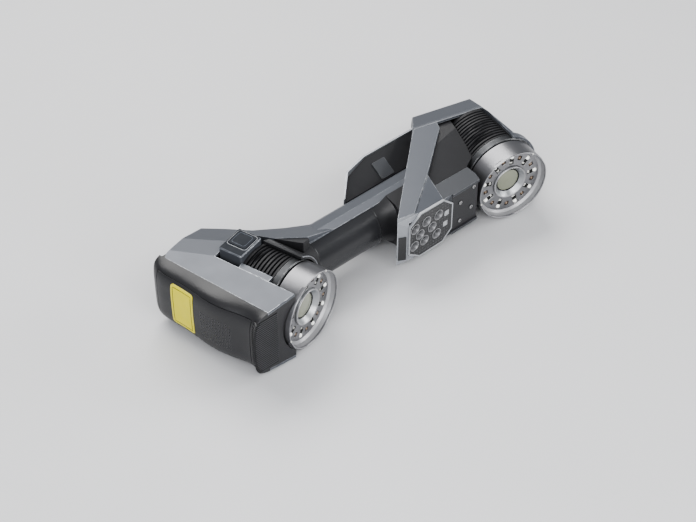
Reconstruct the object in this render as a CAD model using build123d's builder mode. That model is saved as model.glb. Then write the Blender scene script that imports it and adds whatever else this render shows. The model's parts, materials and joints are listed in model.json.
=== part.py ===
from build123d import *
import math
import os

os.makedirs("parts", exist_ok=True)

# Two-camera handheld laser scanner, lying on its right side. Millimetres.
# +X runs from the lower camera head to the upper one, the cameras look along -Y
# and +Z is the scanner's left. The casing is mirrored about Z = 0. Origin: the
# middle of the line between the centres of the two lamp-ring faces.

# ---------------------------------------------------------------- driving sizes
HALF_BASE = 112.3       # half the distance between the two lamp-ring faces
TOE_IN = 14.4           # each camera leans inwards by this angle, degrees

R_RING = 33.0           # lamp ring, outer radius
R_BORE = 31.9           # lamp ring, inner radius
RING_LEN = 19.0         # lamp ring, length along its axis
N_LAMPS = 9             # white lamps in each ring, and as many red ones
R_LAMPS = 22.8          # middle of the white lamp windows
R_RED = R_LAMPS + 0.6   # circle of the red lamps
WHITE_START = 8         # angle of the first white lamp, degrees
RED_START = 28          # angle of the first red lamp, degrees
LAMP_SEAT = -8.85       # back of the lamps, along the camera axis

R_TUBE = 15.5           # lens tube, outer radius
TUBE_REAR = 34.0        # rear end of the lens tube behind the ring face
TUBE_FRONT = 5.4        # its mouth, behind the ring face
MOUTH_DEPTH = 3.4       # depth of the flared mouth
R_GLASS = 11.2          # front glass radius

R_COLLAR = R_RING + 0.5
COLLAR_REAR = 27.0      # rear face of the collar behind the ring face
R_BARREL = 33.4
BARREL_FRONT = 27.1     # front face of the barrel behind the ring face
LOWER_REAR = 56.0       # rear face of the lower barrel behind the ring face
UPPER_REAR = 70.0       # rear face of the upper barrel
LOWER_FINS = (-13.5, 13.5)   # the fins lie between these two x of the camera frame
UPPER_FINS = (-25.0, 9.5)
FIN_START = 28.8
FIN_PITCH = 3.3
FIN_SLOT = 1.7
FIN_DEPTH = 2.6

WALL = 2.4
GAP = 0.15              # assembly gap between neighbouring pieces
SEAM = 0.05             # half the gap between the left and right pieces

GRIP_Y = 50.0           # handle axis
R_GRIP = 20.5           # handle radius
R_CORE = 15.0           # handle core tube, outer radius
R_CORE_HOLE = R_CORE + 0.2
GRIP_X0, GRIP_X1 = -78.5, -13.0
SPLIT_Y = 42.9          # joint between the grip and the spine
MASK = 60               # square that keeps only what lies in front of the joint
MASK_Y = SPLIT_Y - GAP - MASK / 2

TOE_COS = math.cos(math.radians(TOE_IN))
TOE_SIN = math.sin(math.radians(TOE_IN))
# Camera frames: x across towards +X, y along +Z, z forwards along the lens axis.
LOWER_CAM = Plane(origin=(-HALF_BASE, 0, 0), x_dir=(TOE_COS, TOE_SIN, 0),
                  z_dir=(TOE_SIN, -TOE_COS, 0))
UPPER_CAM = Plane(origin=(HALF_BASE, 0, 0), x_dir=(TOE_COS, -TOE_SIN, 0),
                  z_dir=(-TOE_SIN, -TOE_COS, 0))

PARTS = {}              # finished pieces by node name


# ---------------------------------------------------------------- helpers
def slope(x, y, z, slope_x, slope_y):
    """Sloping face through a point, as (a, b, c) of z = a + b x + c y."""
    return (z - slope_x * x - slope_y * y, slope_x, slope_y)


# Sloping faces of the left half of the casing: point x, y, z, slopes along x and y
F_END = slope(-134.7, 0, 33.3, 0.1115, 0)             # lower head, outer strip
F_REAR = slope(0, 0, 33.6, -0.03, -0.092)             # lower head, rear face
F_SHOULDER = slope(-89.5, 37.5, 31, -0.248, -0.266)   # lower head to spine
F_SIDE = slope(0, 27, 20, 0, 0.232)                   # upper body, main side
F_BAND = slope(74, 83, 33, 0.0215, 0.0985)            # cross band
F_POD = slope(0, 0, 20.34, -0.0154, 0.229)            # projector hood
F_CAP = slope(0, 0, 59.41, -0.0654, -0.2547)          # upper head, rear bevel
F_CAP_EDGE = slope(0, 0, 288.4, -0.542, -2.112)       # upper head, rear edge
F_WING = slope(0, 78, 15, 0, 0.63)                    # control unit side


def tilted(face, drop=0.0):
    """Plane of a sloping face, sunk below it by drop."""
    a, b, c = face
    return Plane(origin=(0, 0, a - drop * math.sqrt(1 + b * b + c * c)), z_dir=(-b, -c, 1))


def cover_cuts(drop=0.0):
    return [tilted(face, drop) for face in (F_END, F_REAR, F_SHOULDER)]


def plane_through(p, q, r):
    """Plane through three points with its normal away from the body's middle."""
    p, q, r = Vector(*p), Vector(*q), Vector(*r)
    normal = (q - p).cross(r - p)
    if normal.dot(p - Vector(20, 40, 0)) < 0:
        normal = normal * -1
    return Plane(origin=p, z_dir=normal)


def at_y(y):
    """Sketch plane at y, drawn in x and z; positive extrusions go towards -Y."""
    return Plane.XZ.offset(-y)


def rect_plan(x0, x1, y0, y1):
    return [(x0, y0), (x1, y0), (x1, y1), (x0, y1)]


def disc(plane, radius, z0, z1, bore=0):
    """Disc or ring between two heights along a camera axis."""
    with BuildPart() as body:
        with BuildSketch(plane.offset(z0)):
            Circle(radius)
            if bore:
                Circle(bore, mode=Mode.SUBTRACT)
        extrude(amount=z1 - z0)
    return body.part


def grip_rod(x0, length, radius):
    """Solid rod on the handle axis."""
    with BuildPart() as body:
        with BuildSketch(Plane.YZ.offset(x0)):
            with Locations((GRIP_Y, 0)):
                Circle(radius)
        extrude(amount=length)
    return body.part


def prism(points, cuts=(), z0=0.0, top=60.0, inset=0.0):
    """Upright prism over a plan outline, kept below the cutting planes."""
    with BuildPart() as body:
        with BuildSketch(Plane.XY.offset(z0)):
            with BuildLine():
                Polyline(*points, close=True)
            make_face()
            if inset:
                offset(amount=-inset, kind=Kind.INTERSECTION)
        extrude(amount=top - z0)
        for cut in cuts:
            split(bisect_by=cut, keep=Keep.BOTTOM)
    return body.part


def mirrored(piece):
    """Right-hand twin of a left-hand piece."""
    with BuildPart() as twin:
        add(piece)
        mirror(about=Plane.XY, mode=Mode.REPLACE)
    return twin.part


def rims(body, cam, radius):
    """Circular edges of one radius, ordered from back to front."""
    circles = body.edges().filter_by(GeomType.CIRCLE)
    found = ShapeList([edge for edge in circles if abs(edge.radius - radius) < 0.01])
    return found.sort_by(Axis(cam.origin, cam.z_dir))


# ================================================================ camera heads
def lamp_ring(cam):
    """Ring with an inner flange and four shallow notches round its front edge."""
    with BuildPart() as ring:
        with BuildSketch(cam.offset(-RING_LEN)):
            Circle(R_RING)
            Circle(R_BORE, mode=Mode.SUBTRACT)
        extrude(amount=RING_LEN)
        with BuildSketch(cam.offset(-12.4)):
            Circle(R_BORE + 0.5)
            Circle(28.6, mode=Mode.SUBTRACT)
        extrude(amount=2.0)
        chamfer(rims(ring, cam, R_RING)[-1], length=0.35)
        chamfer(rims(ring, cam, R_BORE)[-1], length=0.3)
        with BuildSketch(cam.offset(-2.6)):
            with PolarLocations(R_RING + 1.3, 4, start_angle=-62):
                Rectangle(3.4, 11)
        extrude(amount=3.0, mode=Mode.SUBTRACT)
    return ring.part


def lamp_mask(cam):
    """Plate with long windows for the white lamps and square ones for the red."""
    with BuildPart() as mask:
        with BuildSketch(cam.offset(-7.8)):
            Circle(R_BORE - 0.15)
            Circle(R_TUBE + 0.3, mode=Mode.SUBTRACT)
            with PolarLocations(R_LAMPS, N_LAMPS, start_angle=WHITE_START):
                RectangleRounded(10.0, 4.2, 0.5, mode=Mode.SUBTRACT)
            with PolarLocations(R_RED, N_LAMPS, start_angle=RED_START):
                RectangleRounded(4.0, 4.0, 0.5, mode=Mode.SUBTRACT)
        extrude(amount=1.0)
    return mask.part


def white_lamps(cam):
    """Each lamp is a square base with a tapered dome, and a small block inwards of it."""
    r_base = R_LAMPS + 2.6
    with BuildPart() as lamps:
        with BuildSketch(cam.offset(LAMP_SEAT)):
            with PolarLocations(r_base, N_LAMPS, start_angle=WHITE_START):
                RectangleRounded(3.6, 3.6, 0.4)
        extrude(amount=1.2)
        with BuildSketch(cam.offset(-7.66)):
            with PolarLocations(r_base, N_LAMPS, start_angle=WHITE_START):
                Circle(1.6)
        extrude(amount=1.0, taper=25)
        with BuildSketch(cam.offset(LAMP_SEAT)):
            with PolarLocations(R_LAMPS - 2.8, N_LAMPS, start_angle=WHITE_START):
                Rectangle(2.4, 2.6)
        extrude(amount=1.3)
    return lamps.part


def red_lamps(cam):
    with BuildPart() as lamps:
        with BuildSketch(cam.offset(LAMP_SEAT)):
            with PolarLocations(R_RED, N_LAMPS, start_angle=RED_START):
                RectangleRounded(3.2, 3.2, 0.3)
        extrude(amount=1.0)
        with BuildSketch(cam.offset(-7.86)):
            with PolarLocations(R_RED, N_LAMPS, start_angle=RED_START):
                Circle(1.2)
        extrude(amount=0.7, taper=20)
    return lamps.part


def lens_tube(cam):
    """Tube with a flared mouth and a seat for the glass."""
    r_seat = R_GLASS + 0.05
    with BuildPart() as tube:
        with BuildSketch(cam.offset(-TUBE_REAR)):
            Circle(R_TUBE)
            Circle(R_GLASS - 0.9, mode=Mode.SUBTRACT)
        extrude(amount=TUBE_REAR - TUBE_FRONT)
        with BuildSketch(cam.offset(-TUBE_FRONT - MOUTH_DEPTH)):
            Circle(r_seat)
        extrude(amount=MOUTH_DEPTH, taper=-42, mode=Mode.SUBTRACT)
        with BuildSketch(cam.offset(-12.0)):
            Circle(r_seat)
        extrude(amount=3.25, mode=Mode.SUBTRACT)
        fillet(rims(tube, cam, R_TUBE)[-1], radius=0.7)
    return tube.part


def lens_glass(cam):
    """Front glass with a bevelled front edge."""
    radius = R_GLASS - 0.05
    with BuildPart() as glass:
        with BuildSketch(cam.offset(-11.9)):
            Circle(radius)
        extrude(amount=2.6)
        chamfer(rims(glass, cam, radius)[-1], length=0.5, length2=1.6)
    return glass.part


def collar(cam):
    """Collar between the ring and the barrel, with a groove in its rear face."""
    with BuildPart() as body:
        with BuildSketch(cam.offset(-COLLAR_REAR)):
            Circle(R_COLLAR)
            Circle(R_TUBE + 0.25, mode=Mode.SUBTRACT)
        extrude(amount=6.3)
        with BuildSketch(cam.offset(-COLLAR_REAR)):
            Circle(29)
            Circle(R_TUBE + 3, mode=Mode.SUBTRACT)
        extrude(amount=3.4, mode=Mode.SUBTRACT)
        chamfer(rims(body, cam, R_COLLAR), length=0.6)
    return body.part


def finned_barrel(cam, rear, fins, cuts):
    """Barrel with a square hollow; the fins run round its two open sides only."""
    fin_x0, fin_x1 = fins
    with BuildPart() as barrel:
        with BuildSketch(cam.offset(-rear)):
            Circle(R_BARREL)
        extrude(amount=rear - BARREL_FRONT)
        with BuildSketch(cam.offset(-rear + 3)):
            Rectangle(32, 32)
        extrude(amount=rear, mode=Mode.SUBTRACT)
        for cut in cuts:
            split(bisect_by=cut, keep=Keep.BOTTOM)
        slot_front = FIN_START
        while slot_front + FIN_SLOT < rear - 0.8:
            with BuildSketch(cam.offset(-slot_front - FIN_SLOT)):
                Circle(R_BARREL + 1)
                Circle(R_BARREL - FIN_DEPTH, mode=Mode.SUBTRACT)
                with Locations(((fin_x0 + fin_x1) / 2, 0)):
                    Rectangle(fin_x1 - fin_x0, 90, mode=Mode.INTERSECT)
            extrude(amount=FIN_SLOT, mode=Mode.SUBTRACT)
            slot_front += FIN_PITCH
    return barrel.part


def camera_block(cam):
    with BuildPart() as block:
        with BuildSketch(cam.offset(-46)):
            RectangleRounded(30, 30, 2)
        extrude(amount=11.8)
        with BuildSketch(cam.offset(-37)):
            Rectangle(16, 14)
        extrude(amount=2.9, mode=Mode.SUBTRACT)
    return block.part


def sensor_board(cam):
    """Square board with four components on its rear face."""
    with BuildPart() as board:
        with BuildSketch(cam.offset(-47.8)):
            Rectangle(30, 30)
        extrude(amount=1.6)
        with BuildSketch(cam.offset(-50.2)):
            with GridLocations(16, 16, 2, 2):
                Rectangle(9, 9)
        extrude(amount=2.45)
    return board.part


def camera_head(side, cam, rear, fins, cuts=()):
    PARTS[side + "_lamp_ring"] = lamp_ring(cam)
    PARTS[side + "_lamp_board"] = disc(cam, R_BORE - 0.2, -10.3, -8.9, bore=R_TUBE + 0.4)
    PARTS[side + "_lamp_mask"] = lamp_mask(cam)
    PARTS[side + "_white_lamps"] = white_lamps(cam)
    PARTS[side + "_red_lamps"] = red_lamps(cam)
    PARTS[side + "_lens_tube"] = lens_tube(cam)
    PARTS[side + "_lens_glass"] = lens_glass(cam)
    PARTS[side + "_collar"] = collar(cam)
    PARTS[side + "_finned_barrel"] = finned_barrel(cam, rear, fins, cuts)
    PARTS[side + "_camera_block"] = camera_block(cam)
    PARTS[side + "_sensor_board"] = sensor_board(cam)


def upper_point(x, z, behind):
    """World point x across, z up and a distance behind the upper ring face."""
    return UPPER_CAM.from_local_coords((x, z, -behind))


def flank(depth, sign=1):
    """Steep outer flank of the upper head, depth inside its painted face."""
    base = plane_through(upper_point(12.6, 28 * sign, 75), upper_point(17.6, 28 * sign, 26),
                         upper_point(27.5, 0, 75))
    outward = base.z_dir if base.z_dir.X > 0 else base.z_dir * -1
    return Plane(origin=base.origin - outward * depth, z_dir=outward)


camera_head("lower", LOWER_CAM, LOWER_REAR, LOWER_FINS)
camera_head("upper", UPPER_CAM, UPPER_REAR, UPPER_FINS, (flank(2.75), flank(2.75, -1)))

# ================================================================ lower head
# End sections: y, x of the cover edge, x of the far point of the bulge
END_STATIONS = [
    (-4, -160.7, -175.7), (28, -166.1, -181.3), (60, -171.5, -186.2),
    (84, -175.6, -189.6), (97, -177.7, -189.8), (104, -178.9, -186.4),
]
# Bulge outline: share of the way out to the far point, share of the half height
END_SHAPE = [
    (0, 1), (0.40, 0.945), (0.72, 0.86), (0.91, 0.70), (0.985, 0.38), (1, 0),
    (0.985, -0.38), (0.91, -0.70), (0.72, -0.86), (0.40, -0.945), (0, -1),
]
END_INNER_X = -158.0    # straight inner side of the lofted end

# Plan outlines, x and y
COVER_PLAN = [
    (-134.7, -4), (-160.7, -4), (-178.2, 98.5), (-174.5, 101.6), (-130.3, 114.6),
    (-117, 101), (-103, 84), (-80.2, 70.5), (-80.2, 44.0), (-100.8, 59.6),
    (-112.6, 84), (-150.6, 71),
]
WEDGE_PLAN = COVER_PLAN[7:11] + COVER_PLAN[6:7]
HOUSE_PLAN = COVER_PLAN[:7] + [(-98, 80.8), (-98, 55)] + COVER_PLAN[-2:]
HOUSE_CAVITY = [
    (-150, -1.4), (-158.5, -1.4), (-174.6, 96), (-172.6, 99), (-131.5, 111.4),
    (-118.5, 98.6), (-107, 85.2), (-112, 86.6), (-153, 73.3),
]
RISE_PLAN = [(-80.2, 44.0), (-48, 42.9), (-48, 58), (-80.2, 70.5)]
SPINE_PLAN = [(-80.2, 42.9), (24.5, 42.9), (57.2, 69.9), (57.2, 71), (-80.2, 71)]
# Spine section, y and z
SPINE_SECTION = [(SPLIT_Y, SEAM), (SPLIT_Y, 19.9), (50.5, 21.2), (61, 18.2), (67, 12.5),
                 (70, 4), (70, SEAM)]
HORN_PLAN = [(-80.3, 43.9), (-80.3, 41.2), (-89.5, 37.5), (-100.6, 59.4)]

PANEL_Y0, PANEL_Y1, PANEL_HALF_Z = 3.0, 95.5, 23.5   # end panel
SOCKET_X = -150         # cable socket axis
R_SHELL = 36.6          # dark shell round the lower barrel
R_FLANGE = 21.6         # handle flange of that shell
FLANGE_X = -80.3
REAR_BOX = (34, 50)     # housing behind the lower camera, across and high
REAR_BOX_X = -3         # its middle in the camera frame
REAR_BOX_BACK = 79.0    # its rear face behind the ring face
BOX_GAP = 0.3


def end_body(grow):
    """Bulging end of the lower head, lofted through its cross sections."""
    with BuildPart() as body:
        for y, edge_x, bulge_x in END_STATIONS:
            section_y = y
            if y == END_STATIONS[0][0]:
                section_y = y - grow
            elif y == END_STATIONS[-1][0]:
                section_y = y + grow
            half_height = F_END[0] + F_END[1] * edge_x
            step_z = half_height - WALL - GAP + grow
            step_x = edge_x - GAP
            bulge = [(step_x + (bulge_x - grow - step_x) * u, (half_height + grow) * w)
                     for u, w in END_SHAPE]
            with BuildSketch(at_y(section_y)):
                with BuildLine():
                    Polyline(bulge[-1], (step_x, -step_z), (END_INNER_X, -step_z),
                             (END_INNER_X, step_z), (step_x, step_z), bulge[0])
                    Spline(*bulge)
                make_face()
        loft()
    return body.part


def end_slab(grow=0.0):
    """Block that bounds the end panel, before it is trimmed to the bulge."""
    half_z = PANEL_HALF_Z + grow
    return prism(rect_plan(-215, -170, PANEL_Y0 - grow, PANEL_Y1 + grow), z0=-half_z, top=half_z)


lower_barrel_room = disc(LOWER_CAM, 34.3, -58, 12)
outer_end = end_body(0)

with BuildPart() as panel_recess:
    add(end_slab(0.6))
    add(end_body(-1.5), mode=Mode.SUBTRACT)

with BuildPart() as end_hollow:
    add(prism(HOUSE_PLAN, cover_cuts(WALL + GAP)))
    mirror(about=Plane.XY)
    add(outer_end)
    add(prism(HOUSE_CAVITY, z0=-50, top=50), mode=Mode.SUBTRACT)
    add(end_body(-2.8), mode=Mode.SUBTRACT)
    add(lower_barrel_room, mode=Mode.SUBTRACT)
    add(panel_recess.part, mode=Mode.SUBTRACT)
    # row of air slots at the front corner
    with BuildSketch(at_y(0.5)):
        with Locations((-165, 0)):
            with GridLocations(30, 2.0, 1, 26):
                Rectangle(26, 1.0)
    extrude(amount=8, mode=Mode.SUBTRACT)
    # hole for the cable socket
    with BuildSketch(at_y(120)):
        with Locations((SOCKET_X, 0)):
            Circle(8.0)
    extrude(amount=18, mode=Mode.SUBTRACT)

# end panel, a skin on the bulge with a perforated field
with BuildPart() as end_panel:
    add(end_slab())
    add(outer_end, mode=Mode.INTERSECT)
    add(end_body(-1.35), mode=Mode.SUBTRACT)
    with BuildSketch(Plane.YZ.offset(-210)):
        with Locations((34.5, -2)):
            with GridLocations(3.0, 3.0, 10, 9):
                Circle(0.65)
    extrude(amount=40, mode=Mode.SUBTRACT)
PARTS["end_panel"] = end_panel.part

# blank label plate on the end panel
with BuildPart() as label:
    with BuildSketch(Plane.YZ.offset(-215)):
        with Locations((68, 1)):
            RectangleRounded(23, 40, 2.5)
    extrude(amount=45)
    add(end_body(0.35), mode=Mode.INTERSECT)
    add(end_body(0.02), mode=Mode.SUBTRACT)
PARTS["warning_label"] = label.part


def spine_bar():
    """Left half of the spine behind the grip."""
    with BuildPart() as bar:
        with BuildSketch(Plane.YZ.offset(-80.2)):
            with BuildLine():
                Polyline(*SPINE_SECTION, close=True)
            make_face()
            with Locations((GRIP_Y, 0)):
                Circle(R_CORE_HOLE, mode=Mode.SUBTRACT)
        extrude(amount=140)
        add(prism(SPINE_PLAN, z0=-1, top=40), mode=Mode.INTERSECT)
    return bar.part


def cover_wedge():
    """Solid part of the cover between the lower camera and the handle."""
    with BuildPart() as wedge:
        add(prism(WEDGE_PLAN, cover_cuts(), z0=SEAM))
        add(disc(LOWER_CAM, R_SHELL + GAP, -60, 12), mode=Mode.SUBTRACT)
        add(grip_rod(-130, 60, R_FLANGE + GAP), mode=Mode.SUBTRACT)
        with BuildSketch(LOWER_CAM.offset(-90)):
            with Locations((REAR_BOX_X, 0)):
                Rectangle(35, 60)
        extrude(amount=40, mode=Mode.SUBTRACT)
    return wedge.part


def spine_rise():
    """Where the spine rises into the lower head."""
    with BuildPart() as rise:
        add(prism(RISE_PLAN, [tilted(F_SHOULDER)], z0=SEAM))
        add(grip_rod(-81, 2.6, R_FLANGE + GAP), mode=Mode.SUBTRACT)
        add(grip_rod(-81, 60, R_GRIP + GAP), mode=Mode.SUBTRACT)
    return rise.part


# painted side covers, each with its half of the spine
with BuildPart() as cover:
    add(prism(COVER_PLAN, cover_cuts()))
    add(prism(rect_plan(-200, -60, -20, 130), cover_cuts(WALL)), mode=Mode.SUBTRACT)
    add(cover_wedge())
    add(spine_bar())
    add(spine_rise())
cover_right = mirrored(cover.part)
PARTS["side_cover_left"] = cover.part
PARTS["side_cover_right"] = cover_right

# dark shell round the inner side of the lower camera, with the handle flange
with BuildPart() as inner_shell:
    with BuildSketch(LOWER_CAM.offset(-LOWER_REAR)):
        Circle(R_SHELL)
        with Locations((40, 0)):
            Rectangle(53, 90, mode=Mode.INTERSECT)
    extrude(amount=36)
    add(grip_rod(-100, 19.7, R_FLANGE))
    horn = prism(HORN_PLAN, [tilted(F_SHOULDER, 0.6)])
    add(horn)
    add(horn.mirror(Plane.XY))
    with BuildSketch(Plane.YZ.offset(FLANGE_X)):
        with Locations((GRIP_Y, 0)):
            Circle(R_FLANGE)
        with Locations((MASK_Y, 0)):
            Rectangle(MASK, MASK, mode=Mode.INTERSECT)
    extrude(amount=1.6)
    add(lower_barrel_room, mode=Mode.SUBTRACT)
    add(grip_rod(-101, 23.5, R_CORE_HOLE), mode=Mode.SUBTRACT)
    add(cover.part, mode=Mode.SUBTRACT)
    add(cover_right, mode=Mode.SUBTRACT)
PARTS["lower_inner_shell"] = inner_shell.part

# the end housing is cleared for the pieces it holds
with BuildPart() as end_housing:
    add(end_hollow.part)
    add(cover.part, mode=Mode.SUBTRACT)
    add(cover_right, mode=Mode.SUBTRACT)
    add(inner_shell.part, mode=Mode.SUBTRACT)
    with BuildSketch(LOWER_CAM.offset(-REAR_BOX_BACK - BOX_GAP)):
        with Locations((REAR_BOX_X, 0)):
            Rectangle(REAR_BOX[0] + 2 * BOX_GAP, REAR_BOX[1] + 2 * BOX_GAP)
    extrude(amount=60, mode=Mode.SUBTRACT)
    # opening for the key block
    with BuildSketch(LOWER_CAM.offset(-78.4)):
        with Locations((-1.3, 0)):
            Rectangle(28.6, 80)
    extrude(amount=60, mode=Mode.SUBTRACT)
PARTS["end_housing"] = end_housing.part

# housing behind the lower camera, seen through the side openings
with BuildPart() as rear_box:
    with BuildSketch(LOWER_CAM.offset(-REAR_BOX_BACK)):
        with Locations((REAR_BOX_X, 0)):
            RectangleRounded(*REAR_BOX, 3)
    extrude(amount=22.8)
    with BuildSketch(LOWER_CAM.offset(-76.5)):
        with Locations((REAR_BOX_X, 0)):
            RectangleRounded(29, 45, 1)
    extrude(amount=17, mode=Mode.SUBTRACT)
PARTS["camera_rear_housing"] = rear_box.part

# key block and its key on the left side
KEY_FRAME = Plane(origin=LOWER_CAM.from_local_coords((0.3, 25.15, -67.2)),
                  x_dir=(TOE_COS, TOE_SIN, 0), z_dir=(0, 0, 1))
SIDE_KEY_X = 1.2        # key centre in the key frame
with BuildPart() as key_block:
    with BuildSketch(KEY_FRAME):
        with Locations((-1.6, 0)):
            RectangleRounded(27.4, 21.8, 2)
    extrude(amount=12.6)
    with BuildSketch(KEY_FRAME.offset(9.4)):
        with Locations((SIDE_KEY_X, 0)):
            RectangleRounded(17.6, 17.6, 2.3)
    extrude(amount=5, mode=Mode.SUBTRACT)
    chamfer(key_block.faces().sort_by(Axis.Z)[-1].outer_wire().edges(), length=0.8)
PARTS["key_block"] = key_block.part

with BuildPart() as side_key:
    with BuildSketch(KEY_FRAME.offset(10.6)):
        with Locations((SIDE_KEY_X, 0)):
            RectangleRounded(17.0, 17.0, 2)
    extrude(amount=3.0)
    fillet(side_key.faces().sort_by(Axis.Z)[-1].edges(), radius=0.6)
PARTS["side_key"] = side_key.part

# two rails along the outer side of the lower barrel; section x and y, camera frame
RAIL = [(-19.8, 22), (-19.8, 31.1), (-15.0, 31.8), (-13.9, 31.0), (-13.9, 27)]
with BuildPart() as rails:
    with BuildSketch(LOWER_CAM.offset(-LOWER_REAR)):
        with BuildLine():
            Polyline(*RAIL, close=True)
        make_face()
        mirror(about=Plane.XZ)
        Circle(R_BARREL + 0.05, mode=Mode.SUBTRACT)
    extrude(amount=28.6)
PARTS["camera_side_rails"] = rails.part

# ================================================================ handle
# the sleeve covers the front of the handle, up to the joint with the spine
with BuildPart() as grip:
    with BuildSketch(Plane.YZ.offset(GRIP_X0)):
        with Locations((GRIP_Y, 0)):
            Circle(R_GRIP)
            Circle(R_CORE_HOLE, mode=Mode.SUBTRACT)
        with Locations((MASK_Y, 0)):
            Rectangle(MASK, MASK, mode=Mode.INTERSECT)
    extrude(amount=GRIP_X1 - GRIP_X0)
PARTS["grip_sleeve"] = grip.part

with BuildPart() as core_tube:
    with BuildSketch(Plane.YZ.offset(-82)):
        with Locations((GRIP_Y, 0)):
            Circle(R_CORE)
            Circle(R_CORE - 2, mode=Mode.SUBTRACT)
    extrude(amount=71)
    add(disc(LOWER_CAM, 34.5, -60, 12), mode=Mode.SUBTRACT)
PARTS["handle_core_tube"] = core_tube.part

with BuildPart() as harness:
    with BuildSketch(Plane.YZ.offset(-86)):
        with Locations((GRIP_Y, 0)):
            RectangleRounded(11, 4, 1.5)
    extrude(amount=88)
PARTS["handle_harness"] = harness.part

# ================================================================ upper body
# Plan outlines, x and y
BAND_PLAN = [(-11, 13.5), (5, 10.4), (44, 35.5), (92.5, 70.0), (96.2, 78), (73.2, 82.5)]
CORE_PLAN = [
    (-10.4, 14.1), (-2.5, 18.0), (1.5, 24), (3.5, 31), (3.5, 42.7), (24.7, 42.7),
    (72.2, 81.9), (96.4, 77.0), (109.0, 73.3), (95.6, 33.4), (84, 28.4), (81.6, 26),
    (42.2, 27.0), (44.35, 35.3), (5, 10.6),
]
CAP_PLAN = [(73.2, 82.6), (88.5, 98.6), (97, 110), (180, 110), (180, 40), (110, 40)]
CAP_HOLLOW_PLAN = [(78.5, 84), (90.5, 96.6), (99, 107), (180, 110), (180, 40), (110, 40)]
HOOD_PLAN = [(-11, 13.3), (-3.4, 9.15), (36.5, 9.15), (44.1, 35.1), (5, 10.2)]
ARM_PLAN = [(36.4, 9.15), (47, 9.15), (47, 7.6), (77.5, 7.6), (80.5, 16), (81.4, 25.8),
            (41.7, 26.8)]
ARM_ROOT_PLAN = [(36.4, 9.15), (47, 9.15), (47, 26.6), (41.7, 26.7)]
BEAM_PLAN = [(47.3, 9.0), (77.5, 9.0), (80.5, 17), (81.3, 25.6), (47.3, 26.4)]

# Corners shared by the two bevels on the handle end of the hood
HOOD_RIDGE, HOOD_FOOT = (5, 10.4, 22.7), (-3.2, 8.9, 14.4)
HOOD_BEVELS = [plane_through((-11, 13.5, 24.4), HOOD_RIDGE, HOOD_FOOT),
               plane_through(HOOD_RIDGE, (9.6, 9.15, 22.2), HOOD_FOOT)]

BAND_DEPTH = 3.2        # thickness of the painted cross band
ARM_TOP = 21.4          # outer face of the hood's two arms
BAY_X0, BAY_X1 = -1.8, 42        # projector bay
BAY_Y0, BAY_Y1 = 9.0, 21.5
BAY_HALF_Z = 17.5
R_FRAME = 36.2          # painted shell round the upper camera
FRAME_BACK = 97.0       # rear end of that shell behind the ring face
LEFT_MASK = 60          # height of the masks that keep the left half
LEFT_MID = LEFT_MASK / 2 + SEAM


def core_top(drop=0.0):
    return [tilted(F_SIDE, drop), tilted(F_BAND, BAND_DEPTH + drop)]


def frame_cuts(drop=0.0):
    return [tilted(F_BAND, drop), tilted(F_CAP, drop), tilted(F_CAP_EDGE, drop), flank(drop)]


def bay_box(grow=0.0):
    """Room of the projector, open to the front."""
    with BuildPart() as box:
        with BuildSketch(at_y(BAY_Y1)):
            with Locations(((BAY_X0 + BAY_X1) / 2, 0)):
                Rectangle(BAY_X1 - BAY_X0 + 2 * grow, 2 * (BAY_HALF_Z + grow))
        extrude(amount=BAY_Y1 - BAY_Y0 + 1)
    return box.part


with BuildPart() as core_left:
    add(prism(CORE_PLAN, core_top(), z0=SEAM))
    add(prism(CORE_PLAN, core_top(WALL), z0=-1, inset=WALL), mode=Mode.SUBTRACT)
    add(disc(UPPER_CAM, 33.7, -71, 12), mode=Mode.SUBTRACT)
    add(bay_box(0.3), mode=Mode.SUBTRACT)
    add(grip_rod(-12, 30, R_CORE_HOLE), mode=Mode.SUBTRACT)
PARTS["upper_body_left"] = core_left.part
PARTS["upper_body_right"] = mirrored(core_left.part)

# Neck that flares from the grip into the upper body: x, y of the centre, radius
NECK_STATIONS = [
    (GRIP_X1 + GAP, GRIP_Y, R_GRIP - 0.6),
    (-4, GRIP_Y - 0.6, R_GRIP + 0.6),
    (3.3, GRIP_Y - 2.4, R_GRIP + 3.2),
]
with BuildPart() as neck:
    for x, centre_y, radius in NECK_STATIONS:
        with BuildSketch(Plane.YZ.offset(x)):
            with Locations((centre_y, 0)):
                Circle(radius)
    loft()
    add(grip_rod(-20, 40, R_CORE_HOLE), mode=Mode.SUBTRACT)
    with BuildSketch(Plane.XY.offset(-40)):
        with Locations((-5, MASK_Y)):
            Rectangle(MASK, MASK)
    extrude(amount=80, mode=Mode.INTERSECT)
    add(prism(CORE_PLAN, z0=-50, top=50), mode=Mode.SUBTRACT)
PARTS["neck_ring"] = neck.part


def cap_hollow():
    """Room inside the rear cap of the upper head."""
    with BuildPart() as hollow:
        with BuildSketch(UPPER_CAM.offset(-FRAME_BACK + WALL)):
            Circle(R_FRAME - WALL)
            with Locations((-27.4, 0)):
                Rectangle(54.8, 70)
        extrude(amount=30)
        for cut in frame_cuts(WALL):
            split(bisect_by=cut, keep=Keep.BOTTOM)
        add(prism(CAP_HOLLOW_PLAN, z0=-60), mode=Mode.INTERSECT)
    return hollow.part


def camera_room():
    """Room inside the wall beside the upper camera."""
    with BuildPart() as room:
        with BuildSketch(UPPER_CAM.offset(-73)):
            Circle(R_FRAME - WALL)
        extrude(amount=60)
        split(bisect_by=flank(WALL), keep=Keep.BOTTOM)
    return room.part


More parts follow.
